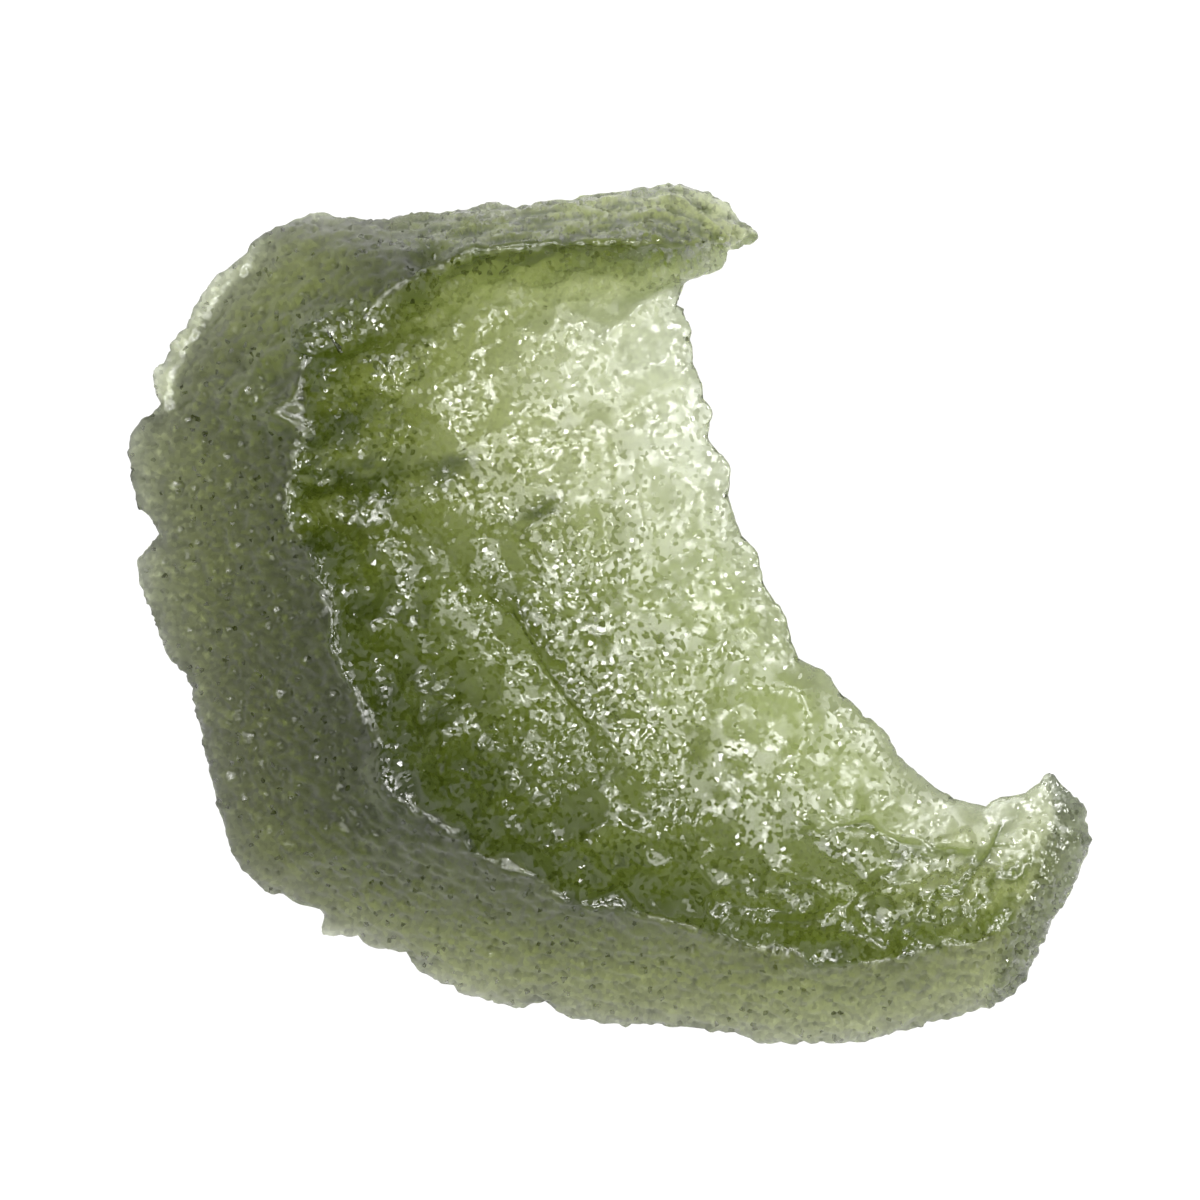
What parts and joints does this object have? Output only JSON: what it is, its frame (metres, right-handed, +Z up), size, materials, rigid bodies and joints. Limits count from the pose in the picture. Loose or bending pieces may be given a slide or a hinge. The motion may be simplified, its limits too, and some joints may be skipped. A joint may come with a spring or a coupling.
{
  "type": "moldavite",
  "caption": "Crescent-shaped shard of natural green glass with a pitted dull rim, a sculptured hollow face, a thin inner edge and one broken end; it rests on a small flat spot.",
  "frame": {"origin": "centre of the stone's outline in plan, at the level of the flat spot that it rests on", "axes": "the stone lies on its back with the hollow face up: +Z up, +X along its greatest width towards the horns, +Y towards the top horn"},
  "size_m": [0.0324, 0.029, 0.0103],
  "materials": {
    "natural_glass": "etched natural glass, satin on the face and dull on the rim"
  },
  "bodies": {
    "root": {"moldavite": "natural_glass"}
  },
  "joints": []
}
